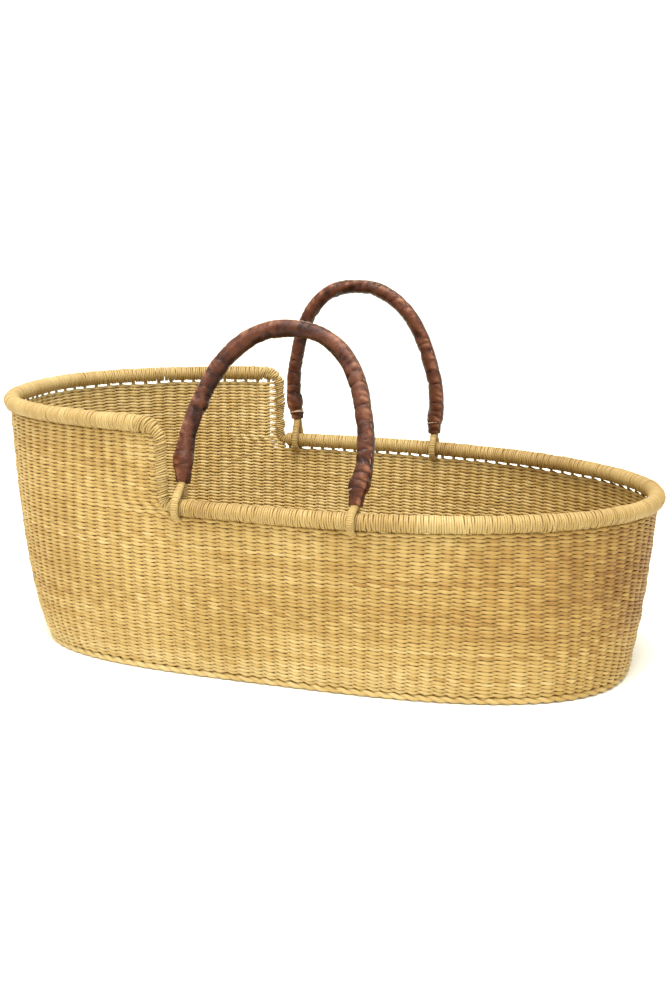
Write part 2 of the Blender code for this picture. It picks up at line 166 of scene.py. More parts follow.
def stake_angle(angle, z):
    """The wall angle at height z of the stake that stands at an angle at the foot rim's height."""
    place = wall(angle, FOOT_HEIGHT)
    x = place[..., 0] - SHIFT
    start = half_sizes(FOOT_HEIGHT)
    here = half_sizes(z)
    reach = np.where(x < 0, start[0], start[1])
    low = np.where(x < 0, here[0], here[1])
    x_here = np.where(x < 0, np.maximum(x, -low), x * low / reach)
    level = angle_at(x_here, z, place[..., 1] > 0)
    level = level + 2 * math.pi * np.round((angle - level) / (2 * math.pi))
    share = smooth((np.abs(x) / reach - SIDE_SHARE) / (END_SHARE - SIDE_SHARE))
    return level + (angle - level) * share


class Ring:
    """Lengths and wall angles once round the basket, at one height and inset."""

    SAMPLES = 6000

    def __init__(self, z, inset=0.0):
        self.angles = np.linspace(0.0, 2 * math.pi, self.SAMPLES + 1)
        steps = np.diff(wall(self.angles, z, inset), axis=0)
        self.lengths = np.concatenate([[0.0], np.cumsum(np.linalg.norm(steps, axis=1))])
        self.length = self.lengths[-1]

    def angle(self, distance):
        """The wall angle at a distance round the ring."""
        turns = np.floor(distance / self.length)
        part = np.interp(distance - turns * self.length, self.lengths, self.angles)
        return part + turns * 2 * math.pi

    def distance(self, angle):
        """The distance round the ring at a wall angle."""
        turns = np.floor(angle / (2 * math.pi))
        part = np.interp(angle - turns * 2 * math.pi, self.angles, self.lengths)
        return part + turns * self.length


FOOT_RING = Ring(FOOT_HEIGHT)
HEAD_RING = Ring(HEAD_HEIGHT)


def head_dip(x):
    """How far the head rim has dipped at a distance x from the widest station."""
    return HEAD_DIP * np.clip(-x / HEAD_DIP_LENGTH - 1, 0.0, 1.0)


def dipped(along, z):
    """Heights on the head end's wall, lowered with the dip of its rim."""
    x = wall(FOOT_RING.angle(along), FOOT_HEIGHT)[:, 0] - SHIFT
    share = np.clip((z - FOOT_TOP) / (HEAD_TOP - FOOT_TOP), 0.0, 1.0)
    return z - head_dip(x) * share


def settle(along, z):
    """Rows sit a little higher at the front, where they close up under the rim."""
    y = wall(FOOT_RING.angle(along), FOOT_HEIGHT)[:, 1]
    raised = (BACK_GAP - FRONT_GAP) * smooth((0.02 - y) / 0.12)
    return z + raised * np.clip((z - WALL_FOOT) / (FOOT_TOP - WALL_FOOT), 0.0, 1.0)


def on_wall(along, z, out):
    """Points of the wall: a distance round the foot ring, a height, and a distance outwards."""
    step = 0.0008
    z = settle(along, z)

    def at(u, height):
        return wall(stake_angle(FOOT_RING.angle(u), height), height)

    here = at(along, z)
    run = at(along + step, z) - at(along - step, z)
    rise = at(along, z + step) - at(along, z - step)
    outward = np.cross(run, rise)
    outward /= np.linalg.norm(outward, axis=1)[:, None]
    return here + outward * out[:, None]


class Line:
    """A smooth line with its own side and up directions, to lay straight work along."""

    def __init__(self, places, ups):
        self.places = np.asarray(places, float)
        steps = np.linalg.norm(np.diff(self.places, axis=0), axis=1)
        self.lengths = np.concatenate([[0.0], np.cumsum(steps)])
        self.length = self.lengths[-1]
        along = np.gradient(self.places, self.lengths, axis=0)
        along /= np.linalg.norm(along, axis=1)[:, None]
        ups = np.asarray(ups, float)
        ups = ups - along * np.sum(ups * along, axis=1)[:, None]
        self.ups = ups / np.linalg.norm(ups, axis=1)[:, None]
        self.sides = np.cross(self.ups, along)

    def read(self, table, x):
        return np.stack([np.interp(x, self.lengths, table[:, i]) for i in range(3)], axis=1)

    def lay(self, points):
        """Straight work's X runs along the line, Y to its side and Z up."""
        x, y, z = points.T
        place = self.read(self.places, x)
        return place + self.read(self.sides, x) * y[:, None] + self.read(self.ups, x) * z[:, None]


def select_only(piece):
    """Selects one piece and makes it the active one."""
    bpy.ops.object.select_all(action="DESELECT")
    piece.select_set(True)
    bpy.context.view_layer.objects.active = piece


def extruded_ring(name, sections, sides):
    """Extrudes a ring of corners through sections of (x, y, z, half depth, half height) along X."""
    x, y, z, depth, height = sections[0]
    bpy.ops.object.select_all(action="DESELECT")
    bpy.ops.mesh.primitive_circle_add(
        vertices=sides, radius=1.0, location=(x, y, z), rotation=(0.0, math.pi / 2, 0.0)
    )
    piece = bpy.context.object
    piece.name = name
    bpy.ops.object.transform_apply(location=True, rotation=True, scale=True)
    bpy.ops.object.mode_set(mode="EDIT")
    bpy.ops.mesh.select_all(action="SELECT")
    bpy.ops.transform.resize(value=(1.0, depth, height), center_override=(x, y, z))
    for before, after in zip(sections, sections[1:]):
        step = tuple(b - a for a, b in zip(before[:3], after[:3]))
        bpy.ops.mesh.extrude_region_move(TRANSFORM_OT_translate={"value": step})
        grow = (1.0, after[3] / before[3], after[4] / before[4])
        bpy.ops.transform.resize(value=grow, center_override=after[:3])
    bpy.ops.mesh.select_all(action="SELECT")
    bpy.ops.mesh.normals_make_consistent(inside=False)
    bpy.ops.object.mode_set(mode="OBJECT")
    return piece


def joined(name, pieces):
    """Joins pieces into the first."""
    bpy.ops.object.select_all(action="DESELECT")
    for piece in pieces:
        piece.select_set(True)
    bpy.context.view_layer.objects.active = pieces[0]
    bpy.ops.object.join()
    pieces[0].name = name
    pieces[0].data.name = name
    return pieces[0]


def points_of(piece):
    """A mesh's corners as rows of x, y, z."""
    flat = np.empty(len(piece.data.vertices) * 3, np.float32)
    piece.data.vertices.foreach_get("co", flat)
    return flat.reshape(-1, 3).astype(float)


def move_points(piece, places):
    """Puts a mesh's corners at new places."""
    piece.data.vertices.foreach_set("co", places.astype(np.float32).ravel())
    piece.data.update()


def note(piece, name, values):
    """Keeps a number or a vector for each corner, for the finish to read."""
    kind = "FLOAT" if values.ndim == 1 else "FLOAT_VECTOR"
    field = "value" if values.ndim == 1 else "vector"
    kept = piece.data.attributes.new(name, kind, "POINT")
    kept.data.foreach_set(field, values.astype(np.float32).ravel())


def repeat(piece, count, pitch):
    """Lays copies in a row along X. Returns each corner's copy number."""
    corners = len(piece.data.vertices)
    select_only(piece)
    row = piece.modifiers.new("row", "ARRAY")
    row.count = count
    row.use_relative_offset = False
    row.use_constant_offset = True
    row.constant_offset_displace = (pitch, 0.0, 0.0)
    bpy.ops.object.modifier_apply(modifier="row")
    return np.repeat(np.arange(count), corners)


def weld(piece, open_ends=False):
    """Welds the seams where copies meet, and closes open ends."""
    select_only(piece)
    bpy.ops.object.mode_set(mode="EDIT")
    bpy.ops.mesh.select_all(action="SELECT")
    bpy.ops.mesh.remove_doubles(threshold=WELD)
    if open_ends:
        bpy.ops.mesh.select_all(action="SELECT")
        bpy.ops.mesh.fill_holes(sides=0)
    bpy.ops.object.mode_set(mode="OBJECT")


def finish_piece(piece, material, body, nodes, open_ends=False):
    """Welds the seams, closes open ends, smooths, and hangs the piece on its body."""
    weld(piece, open_ends)
    bpy.ops.object.shade_smooth()
    piece.data.materials.clear()
    piece.data.materials.append(material)
    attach(piece, body)
    if nodes:
        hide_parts(*nodes)
    return piece


# Materials.


def add_node(tree, kind, **values):
    """Adds a node with its settings."""
    made = tree.nodes.new(kind)
    for name, value in values.items():
        setattr(made, name, value)
    return made


def maths(tree, operation, a, b):
    """A maths node between sockets or numbers."""
    made = add_node(tree, "ShaderNodeMath", operation=operation)
    for socket, value in zip(made.inputs, (a, b)):
        if isinstance(value, (int, float)):
            socket.default_value = value
        else:
            tree.links.new(value, socket)
    return made.outputs[0]


def noise(tree, vector, scale, detail=2.0, rough=0.5):
    """Cloudy noise between 0 and 1."""
    made = add_node(tree, "ShaderNodeTexNoise")
    made.inputs["Scale"].default_value = scale
    made.inputs["Detail"].default_value = detail
    made.inputs["Roughness"].default_value = rough
    tree.links.new(vector, made.inputs["Vector"])
    return made.outputs["Fac"]


def ramp(tree, value, stops):
    """Turns a value into a colour between stops."""
    made = add_node(tree, "ShaderNodeValToRGB")
    line = made.color_ramp
    while len(line.elements) < len(stops):
        line.elements.new(0.5)
    for element, (place, colour) in zip(line.elements, stops):
        element.position = place
        element.color = (*colour, 1.0)
    tree.links.new(value, made.inputs["Fac"])
    return made.outputs["Color"]


def stretched(tree, vector, scale):
    """Coordinates scaled along each direction."""
    made = add_node(tree, "ShaderNodeMapping")
    made.inputs["Scale"].default_value = scale
    tree.links.new(vector, made.inputs["Vector"])
    return made.outputs["Vector"]


def tinted(stops, tint):
    """The colours of a ramp, each times a tint."""
    return [(place, tuple(np.array(colour) * tint)) for place, colour in stops]


def new_finish(name):
    """A new material, its nodes and its shader."""
    made = bpy.data.materials.new(name)
    made.use_nodes = True
    return made, made.node_tree, made.node_tree.nodes["Principled BSDF"]


def roughened(tree, shader, height, strength, distance):
    """Raises a surface's fine relief."""
    lift = add_node(tree, "ShaderNodeBump")
    lift.inputs["Strength"].default_value = strength
    lift.inputs["Distance"].default_value = distance
    tree.links.new(height, lift.inputs["Height"])
    tree.links.new(lift.outputs["Normal"], shader.inputs["Normal"])


def straw(name, stops, fibre, patch=0.5, tone=0.2, streak=0.35, rough=0.5, bump=0.4, painted_light_and_shade=0.0):
    """Dry straw: fine fibres along the strand, a tone for each strand, and broad patches.

    The last setting paints light on the lowest rows, making them paler, and paints shade on the foot end,
    making it darker."""
    made, tree, shader = new_finish(name)
    lay = add_node(tree, "ShaderNodeAttribute", attribute_name="lay").outputs["Vector"]
    own = add_node(tree, "ShaderNodeAttribute", attribute_name="tone").outputs["Fac"]
    place = add_node(tree, "ShaderNodeTexCoord").outputs["Object"]
    fibres = noise(tree, stretched(tree, lay, fibre), 1.0, 3.0, 0.6)
    patches = noise(tree, place, 9.0, 2.0, 0.6)
    value = maths(tree, "MULTIPLY", maths(tree, "SUBTRACT", fibres, 0.5), streak)
    value = maths(tree, "ADD", value, maths(tree, "MULTIPLY", own, tone))
    value = maths(
        tree, "ADD", value, maths(tree, "MULTIPLY", maths(tree, "SUBTRACT", patches, 0.5), patch)
    )
    value = maths(tree, "ADD", value, 0.5)
    # Painted light makes the lowest rows paler, standing in for light off the floor; painted shade darkens
    # the foot end.
    if painted_light_and_shade:
        split = add_node(tree, "ShaderNodeSeparateXYZ")
        tree.links.new(place, split.inputs["Vector"])
        low = maths(tree, "SUBTRACT", 1.0, maths(tree, "DIVIDE", split.outputs["Z"], 0.09))
        value = maths(tree, "ADD", value, maths(tree, "MULTIPLY", maths(tree, "MAXIMUM", low, 0.0), painted_light_and_shade))
        far = maths(tree, "DIVIDE", maths(tree, "SUBTRACT", split.outputs["X"], 0.16), 0.24)
        value = maths(
            tree, "SUBTRACT", value, maths(tree, "MULTIPLY", maths(tree, "MAXIMUM", far, 0.0), painted_light_and_shade)
        )
    stops = tinted(stops, bpy.context.scene.basket.straw_tint)
    tree.links.new(ramp(tree, value, stops), shader.inputs["Base Color"])
    roughened(tree, shader, fibres, bump, 0.0006)
    shader.inputs["Roughness"].default_value = rough
    shader.inputs["Specular IOR Level"].default_value = 0.35
    return made


def leather():
    """Dark brown leather: fine grain, darker with painted shade in the creases and lighter with a painted
    highlight outside.
    """
    made, tree, shader = new_finish("brown_leather")
    lay = add_node(tree, "ShaderNodeAttribute", attribute_name="lay").outputs["Vector"]
    # The tone from the sleeve carries painted highlight and painted shade.
    light_and_shade_tone = add_node(tree, "ShaderNodeAttribute", attribute_name="tone").outputs["Fac"]
    grain = noise(tree, stretched(tree, lay, (520.0, 300.0, 300.0)), 1.0, 4.0, 0.65)
    cloud = noise(tree, stretched(tree, lay, (60.0, 60.0, 60.0)), 1.0, 3.0, 0.6)
    cloud = maths(tree, "ADD", maths(tree, "MULTIPLY", cloud, 0.3), 0.35)
    value = maths(tree, "ADD", maths(tree, "MULTIPLY", light_and_shade_tone, 0.17), cloud)
    value = maths(tree, "ADD", value, maths(tree, "MULTIPLY", maths(tree, "SUBTRACT", grain, 0.5), 0.3))
    stops = (
        (0.20, (0.007, 0.003, 0.002)),
        (0.45, (0.032, 0.009, 0.004)),
        (0.68, (0.088, 0.027, 0.011)),
        (0.95, (0.260, 0.115, 0.060)),
    )
    stops = tinted(stops, bpy.context.scene.basket.leather_tint)
    tree.links.new(ramp(tree, value, stops), shader.inputs["Base Color"])
    roughened(tree, shader, grain, 0.7, 0.0010)
    shader.inputs["Roughness"].default_value = 0.28
    shader.inputs["Specular IOR Level"].default_value = 0.17
    return made


def thread():
    """Pale waxed thread."""
    made, tree, shader = new_finish("waxed_thread")
    place = add_node(tree, "ShaderNodeTexCoord").outputs["Object"]
    twist = noise(tree, place, 900.0, 1.0)
    stops = ((0.3, (0.20, 0.12, 0.075)), (0.7, (0.42, 0.29, 0.20)))
    tree.links.new(ramp(tree, twist, stops), shader.inputs["Base Color"])
    shader.inputs["Roughness"].default_value = 0.6
    return made


FINISHES = {}


def finish(name):
    """Each finish is mixed once and shared."""
    if name not in FINISHES:
        FINISHES[name] = MIXES[name]()
    return FINISHES[name]


WEAVE_STOPS = (
    (0.05, (0.204, 0.095, 0.014)),
    (0.35, (0.331, 0.197, 0.046)),
    (0.60, (0.425, 0.288, 0.090)),
    (0.95, (0.550, 0.418, 0.180)),
)
RIM_STOPS = (
    (0.05, (0.149, 0.075, 0.016)),
    (0.35, (0.298, 0.192, 0.056)),
    (0.60, (0.387, 0.275, 0.101)),
    (0.95, (0.522, 0.415, 0.202)),
)
# Painted shade: the core's dark browns stand for the shadow seen between stitches.
CORE_SHADE_STOPS = ((0.2, (0.130, 0.066, 0.015)), (0.8, (0.240, 0.135, 0.036)))
MIXES = {
    "woven": lambda: straw(
        "woven_straw", WEAVE_STOPS, (70.0, 1500.0, 1500.0), tone=0.14, streak=0.5, bump=0.6, painted_light_and_shade=0.3
    ),
    "core": lambda: straw("painted_shade_straw", CORE_SHADE_STOPS, (70.0, 1500.0, 1500.0)),
    "wound": lambda: straw("wound_straw", RIM_STOPS, (1300.0, 60.0, 60.0), tone=0.16, patch=0.3),
    "leather": leather,
    "thread": thread,
}


# Twined work.


def stitch_pair(name, pitch, swing, drop, waist, belly, depth, steps, sides):
    """Two strands that swap places once: the outer one runs down, the inner one runs up.

    Seen from the front: swing is towards -Y, and drop is up or down from the middle."""
    strands = []
    for turn in (-1, 1):
        sections = []
        for i in range(steps + 1):
            phase = math.pi * (i / steps - 0.5)
            out = math.cos(phase)
            height = waist + (belly - waist) * out * out
            sections.append(
                (
                    pitch * i / steps,
                    turn * swing * out,
                    turn * drop * math.sin(phase),
                    depth,
                    height,
                )
            )
        strands.append((extruded_ring(name, sections, sides), sections))
    own = []
    for piece, sections in strands:
        points = points_of(piece)
        middles = np.array(sections)[:, 1:3]
        nearest = np.round(points[:, 0] / pitch * steps).astype(int)
        own.append(np.column_stack([points[:, 0], points[:, 1:] - middles[nearest]]))
    pair = joined(name, [piece for piece, _ in strands])
    return pair, np.concatenate(own), np.repeat([0, 1], [len(part) for part in own])


def twined(name, pair, count, pitch):
    """A long row of stitch pairs, and for each corner its copy, place in the copy, and strand."""
    piece, own, strand = pair
    copies = repeat(piece, count, pitch)
    piece.name = name
    points = points_of(piece)
    points[:, 0] -= copies * pitch
    return piece, copies, points, np.tile(own, (count, 1)), np.tile(strand, count)


def straw_notes(piece, along, own, strand_id, row, seed, inside=0.0):
    """Fibre coordinates and a tone for every strand, renewed where a new straw begins."""
    length = 0.17 + 0.05 * drift(row + 31 * strand_id, 0.37, seed)
    straw_number = np.floor(along / length + 7.3 * row + 3.1 * strand_id).astype(int)
    key = (straw_number * 7919 + row * 131 + strand_id * 17) % 8191
    tones = np.random.default_rng(SEED + seed).normal(0.0, 0.55, 8191)
    # inside is painted light: it makes the tone paler on the wall's inner face.
    note(piece, "tone", tones[key] + 0.25 * drift(along, 0.011, seed + 1) - inside)
    ply = own[:, 2] + 0.4 * along
    lay = np.column_stack([along + key * 0.37, own[:, 1], ply + key * 0.011])
    note(piece, "lay", lay)


STITCH = {"swing": 0.0021, "drop": 0.00100, "waist": 0.00135, "belly": 0.00268, "depth": 0.00120}
BASE_STITCH = {"swing": 0.0017, "drop": 0.0012, "waist": 0.0013, "belly": 0.0024, "depth": 0.0010}
ROPE_STITCH = {"swing": 0.0018, "drop": 0.0016, "waist": 0.0024, "belly": 0.0033, "depth": 0.0024}
BASE_PITCH = 0.018
BASE_EDGE = 0.0028
BASE_ROW = 0.0048
BASE_HEIGHT = 0.0034
STAKE_SPACING = 0.016
STAKES = 2 * round(FOOT_RING.length / STAKE_SPACING / 2)
PITCH = FOOT_RING.length / STAKES
FOOT_ROWS = 42
HEAD_ROWS = 21
BANDS = 6
# How much painted light makes the straw on the wall's inner face paler.
INSIDE_PAINTED_LIGHT = 1.6


def stitches(name, pitch, count, steps=5, sides=6, **sizes):
    """A row of stitch pairs from its sizes."""
    return twined(name, stitch_pair(name, pitch, steps=steps, sides=sides, **sizes), count, pitch)


def laid(z, points, own):
    """Heights of a row's corners: the strands cross more steeply low down than near the rim."""
    steep = np.interp(z, (WALL_FOOT, FOOT_TOP, HEAD_TOP), (0.95, 0.62, 0.50))
    return own[:, 2] + (points[:, 2] - own[:, 2]) * steep


def wobble(along, row):
    """How far a row wanders up and down, alike on neighbouring rows and then on its own."""
    shared = 0.0006 * drift(along, FOOT_RING.length / 61, 3, 61)
    return shared + 0.0004 * drift(along + row * 0.31, FOOT_RING.length / 163, 4, 163)


def hang_row(piece, points, along, z, row):
    """Lays a row's corners on the wall, each stitch a little looser or tighter."""
    loose = 1 + 0.25 * drift(along + row * 0.0071, FOOT_RING.length / 151, 5, 151)
    move_points(piece, on_wall(along, z, -points[:, 1] * loose))


def inside_painted_light(points):
    """Painted light: the straw on the wall's inner face is made paler, standing in for the light inside the
    basket.
    """
    return -INSIDE_PAINTED_LIGHT * np.clip(points[:, 1] / 0.001, 0.0, 1.0)


def weave_band(band):
    """One band of full rows round the basket."""
    rows = FOOT_ROWS // BANDS
    rise = (FOOT_TOP - WALL_FOOT) / FOOT_ROWS
    name = f"woven_band_{band + 1}"
    piece, copies, points, own, strand = stitches(name, PITCH, rows * STAKES, **STITCH)
    row = copies // STAKES + band * rows
    stake = copies % STAKES
    along = stake * PITCH + points[:, 0]
    middle = WALL_FOOT + rise * (row + 0.5)
    z = middle + wobble(along, row) + laid(middle, points, own)
    hang_row(piece, points, along, z, row)
    straw_notes(piece, along, own, (stake + strand) % 2, row, 10, inside_painted_light(points))
    nodes = ["woven_wall"] if band == 0 else []
    return finish_piece(piece, finish("woven"), "basket", nodes)


def row_end(side, z):
    """Where a head row ends inside the step's roll, as a distance x from the widest station."""
    x = STEP_X[side]
    corner = HEAD_HEIGHT - UPPER_BEND
    reach = np.sqrt(np.maximum((UPPER_BEND - 0.003) ** 2 - np.maximum(z - corner, 0.0) ** 2, 0.0))
    upper = x - UPPER_BEND + reach
    lower = x - 0.003 + 0.012 * smooth((FOOT_HEIGHT + 0.004 - z) / 0.012)
    return np.where(z > FOOT_HEIGHT + LOWER_BEND, upper, lower)


def round_to_side(x, side):
    """The distance round the foot ring at a distance x from the widest station."""
    return FOOT_RING.distance(angle_at(np.asarray(x, float), FOOT_HEIGHT, side == "back"))


def head_band():
    """The short rows of the head end, from the back step round to the front step."""
    rise = (HEAD_TOP - FOOT_TOP) / HEAD_ROWS
    first = int(math.floor(round_to_side(STEP_X["back"], "back") / PITCH))
    last = int(math.ceil(round_to_side(STEP_X["front"], "front") / PITCH))
    across = last - first
    piece, copies, points, own, strand = stitches(
        "woven_head_band", PITCH, HEAD_ROWS * across, **STITCH
    )
    row = copies // across
    stake = copies % across + first
    along = stake * PITCH + points[:, 0]
    middle = FOOT_TOP + rise * (row + 0.5)
    start = round_to_side(row_end("back", middle), "back")
    stop = round_to_side(row_end("front", middle), "front")
    ease = 7 * PITCH
    along = (
        along
        + (start - first * PITCH) * (1 - smooth((along - first * PITCH) / ease))
        + (stop - last * PITCH) * (1 - smooth((last * PITCH - along) / ease))
    )
    from_back = along - round_to_side(STEP_X["back"], "back")
    from_front = round_to_side(STEP_X["front"], "front") - along
    beside = np.minimum(from_back, from_front)
    squeeze = np.exp(-(((beside - 0.0115) / 0.0032) ** 2)) * (middle > FOOT_HEIGHT + 0.004)
    pull = np.where(row % 2 == 0, 0.0008, -0.0008)
    z = middle + wobble(along, row) * (1 - squeeze) + pull * squeeze
    z += laid(middle, points, own) * (1 - 0.45 * squeeze)
    z = dipped(along, z)
    hang_row(piece, points, along, z, row)
    straw_notes(piece, along, own, (stake + strand) % 2, row, 20, inside_painted_light(points))
    return finish_piece(piece, finish("woven"), "basket", [], open_ends=True)


def wall_core():
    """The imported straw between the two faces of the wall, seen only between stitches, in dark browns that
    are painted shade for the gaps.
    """
    clear = 0.016
    start = round_to_side(STEP_X["back"], "back") + clear
    stop = round_to_side(STEP_X["front"], "front") - clear
    parts = (
        ("wall_core", 0.0, FOOT_RING.length, 0.007, FOOT_TOP - 0.0022),
        ("head_wall_core", start, stop, FOOT_TOP - 0.0026, HEAD_TOP - 0.0022),
    )
    for name, first, last, low, high in parts:
        wide = round((last - first) / 0.008)
        bpy.ops.object.select_all(action="DESELECT")
        bpy.ops.mesh.primitive_grid_add(
            x_subdivisions=wide, y_subdivisions=20, size=1.0, rotation=(math.pi / 2, 0.0, 0.0)
        )
        piece = bpy.context.object
        piece.name = name
        bpy.ops.object.transform_apply(location=True, rotation=True, scale=True)
        points = points_of(piece)
        along = first + (points[:, 0] + 0.5) * (last - first)
        z = low + (points[:, 2] + 0.5) * (high - low)
        z = dipped(along, z)
        move_points(piece, on_wall(along, z, 0.0 * z))
        note(piece, "tone", 0.0 * z)
        note(piece, "lay", np.column_stack([along, z, 0.0 * z]))
        weld(piece)
        thick = piece.modifiers.new("thick", "SOLIDIFY")
        thick.thickness = 0.0006
        thick.offset = 0.0
        bpy.ops.object.modifier_apply(modifier="thick")
        finish_piece(piece, finish("core"), "basket", [])


def clear_of_forks(number):
    """Whether a stake stands clear of where a handle's fork swings."""
    place = wall(FOOT_RING.angle((number + 0.5) * PITCH), FOOT_HEIGHT)
    side = "back" if place[1] > 0 else "front"
    return all(abs(place[0] - SHIFT - x) > FORK_ROOM for x in LOOP_X[side])


def stakes():
    """The upright stakes that the rows are twined round, bare in the openwork under the rims."""
    start = round_to_side(STEP_X["back"], "back")
    stop = round_to_side(STEP_X["front"], "front")
    sections = [(i / 12, 0.0, 0.0, 1.0, 1.0) for i in range(13)]
    for name, tall, nodes in (
        ("foot_stakes", False, ["foot_stake_row"]),
        ("head_stakes", True, ["head_stake_row"]),
    ):
        numbers = [
            k
            for k in range(STAKES)
            if (start + 0.004 < (k + 0.5) * PITCH < stop - 0.004) == tall and clear_of_forks(k)
        ]
        piece = extruded_ring(name, sections, 8)
        copies = repeat(piece, len(numbers), 2.0)
        points = points_of(piece)
        share = points[:, 0] - copies * 2.0
        middle = (np.array(numbers)[copies] + 0.5) * PITCH
        low = 0.006
        x = wall(FOOT_RING.angle(middle), FOOT_HEIGHT)[:, 0] - SHIFT
        weave_top = HEAD_TOP - head_dip(x) if tall else np.full(len(x), FOOT_TOP)
        top = weave_top + BACK_GAP + 0.004
        knee = (weave_top - 0.003 - low) / (top - low)
        rise = np.where(share < 0.75, share / 0.75 * knee, knee + (share - 0.75) / 0.25 * (1 - knee))
        bare = smooth((share - 0.70) / 0.12)
        width = 0.0014 + 0.0009 * bare
        depth = 0.0009 + 0.0007 * bare
        z = low + (top - low) * rise
        along = middle + points[:, 1] * width + 0.0006 * drift(middle, PITCH * 0.7, 8) * bare
        move_points(piece, on_wall(along, z, points[:, 2] * depth))
        note(piece, "tone", 0.5 * drift(middle, PITCH, 9) - 0.1)
        note(piece, "lay", np.column_stack([z + copies, points[:, 1] * width, points[:, 2] * depth]))
        finish_piece(piece, finish("woven"), "basket", nodes, open_ends=True)


def base_rows():
    """The base: closed rings of twined straw, one inside the other."""
    half_width = float(half_sizes(BRAID_RADIUS)[2])
    count = round((half_width - BASE_EDGE) / BASE_ROW)
    row_width = (half_width - BASE_EDGE) / count
    insets = [BASE_EDGE + row_width * (i + 0.5) for i in range(count)]
    rings = [Ring(BRAID_RADIUS, inset) for inset in insets]
    numbers = [max(4, 2 * round(ring.length / BASE_PITCH / 2)) for ring in rings]
    total = sum(numbers)
    half = 0
    while sum(numbers[:half]) < total / 2:
        half += 1
    for name, chosen, nodes in (
        ("base_outer_rows", range(half), ["base_panel"]),
        ("base_inner_rows", range(half, count), []),
    ):
        index = np.concatenate([np.full(numbers[i], i) for i in chosen])
        place = np.concatenate([np.arange(numbers[i]) for i in chosen])
        piece, copies, points, own, strand = stitches(
            name, BASE_PITCH, len(index), steps=4, sides=5, **BASE_STITCH
        )
        row = index[copies]
        stake = place[copies]
        places = np.empty_like(points)
        around = np.empty(len(points))
        for i in chosen:
            mine = row == i
            ring = rings[i]
            along = (stake[mine] + points[mine, 0] / BASE_PITCH) * ring.length / numbers[i]
            inset = insets[i] - points[mine, 2]
            flat = wall(ring.angle(along), BRAID_RADIUS, inset)
            flat[:, 2] = BASE_HEIGHT + points[mine, 1]
            places[mine] = flat
            around[mine] = along
        move_points(piece, places)
        straw_notes(piece, around, own, (stake + strand) % 2, row, 30)
        finish_piece(piece, finish("woven"), "basket", nodes)


def edge_braid():
    """The two-strand rope that the base and the wall grow from."""
    ring = Ring(BRAID_RADIUS)
    count = STAKES
    pitch = ring.length / count
    piece, copies, points, own, strand = stitches(
        "base_edge_braid_rope", pitch, count, steps=6, sides=8, **ROPE_STITCH
    )
    along = copies * pitch + points[:, 0]
    angles = ring.angle(along)
    step = 0.001
    here = wall(angles, BRAID_RADIUS)
    run = wall(ring.angle(along + step), BRAID_RADIUS) - wall(ring.angle(along - step), BRAID_RADIUS)
    run /= np.linalg.norm(run, axis=1)[:, None]
    outward = np.cross(run, (0.0, 0.0, 1.0))
    places = here + outward * (-points[:, 1] + 0.0008)[:, None]
    places[:, 2] = np.maximum(0.0047 + points[:, 2], 0.0)
    move_points(piece, places)
    straw_notes(piece, along, own, (copies + strand) % 2, np.zeros(len(along), int), 40)
    return finish_piece(piece, finish("woven"), "basket", ["base_edge_braid"])


# Wound work.


def wound(name, line, pitch, radius, groove, sides, slant, seed, ripple=0.00025, stray=1.0, taper=None):
    """Straw wound closely round a line: a crown for each turn, a groove between turns.

    radius(x) gives the half sizes to the side and upwards; slant(x) leans each turn, and stray
    makes the turns less alike."""
    count = max(3, round(line.length / pitch))
    pitch = line.length / count
    shares = ((0.0, 0.0), (0.18, 0.75), (0.5, 1.0), (0.82, 0.75), (1.0, 0.0))
    sections = [(pitch * share, 0.0, 0.0, 1.0, 1.0) for share, _ in shares]
    piece = extruded_ring(name, sections, sides)
    turn = repeat(piece, count, pitch)
    points = points_of(piece)
    x = points[:, 0]
    part = x / pitch - turn
    crown = np.interp(part, *zip(*shares))
    side, up = radius(x)
    middle = (turn + 0.5) * pitch
    lift = ripple * (drift(turn, 1.0, seed) + drift(x, 0.012, seed + 1))
    swell = crown * groove * (1 + 0.4 * drift(turn, 1.0, seed + 2)) - groove + lift
    turn_angle = np.arctan2(points[:, 2], points[:, 1])
    swell = swell + ripple * drift(turn_angle / 1.3 + turn * 0.37, 1.0, seed + 6)
    flat = np.column_stack(
        [x, points[:, 1] * (side + swell), points[:, 2] * (up + swell)]
    )
    lean = 0.05 * drift(turn, 1.0, seed + 3) + 0.06 * drift(turn, 9.0, seed + 4)
    lean = slant(middle) + stray * lean
    ends = smooth(x / 0.004) * smooth((line.length - x) / 0.004)
    flat[:, 0] += lean * flat[:, 2] * ends
    flat[:, 0] = np.clip(flat[:, 0], 0.0, line.length)
    if taper is not None:
        shrink = taper(x)
        flat[:, 1] *= shrink
        flat[:, 2] *= shrink
    move_points(piece, line.lay(flat))
    patches = 0.8 * drift(middle, 0.085, seed + 5) + 0.5 * drift(middle, 0.021, seed + 7)
    tones = np.random.default_rng(SEED + seed).normal(0.0, 0.22, count + 1)
    # Painted shade: the grooves between turns are darkened.
    note(piece, "tone", patches + tones[turn] - 1.7 * (1 - crown))
    note(piece, "lay", np.column_stack([x + turn * 0.013, flat[:, 1], flat[:, 2]]))
    return piece


def upright(x):
    """Turns that don't lean."""
    return 0.0 * x


def rim_line(start, stop, ring, height, samples=1400):
    """The rim's centre line between two wall angles."""
    distances = np.linspace(ring.distance(start), ring.distance(stop), samples)
    angles = ring.angle(distances)
    x = wall(angles, height)[:, 0] - SHIFT
    z = height - (head_dip(x) if height == HEAD_HEIGHT else 0.0)
    return Line(wall(angles, z), np.tile((0.0, 0.0, 1.0), (samples, 1)))


def round_end(length, reach=0.006):
    """Closes a roll to a rounded end at each end of a line."""

    def taper(x):
        near = np.minimum(x, length - x)
        return np.sqrt(np.clip(1 - (1 - np.clip(near / reach, 0.0, 1.0)) ** 2, 0.02, 1.0))

    return taper


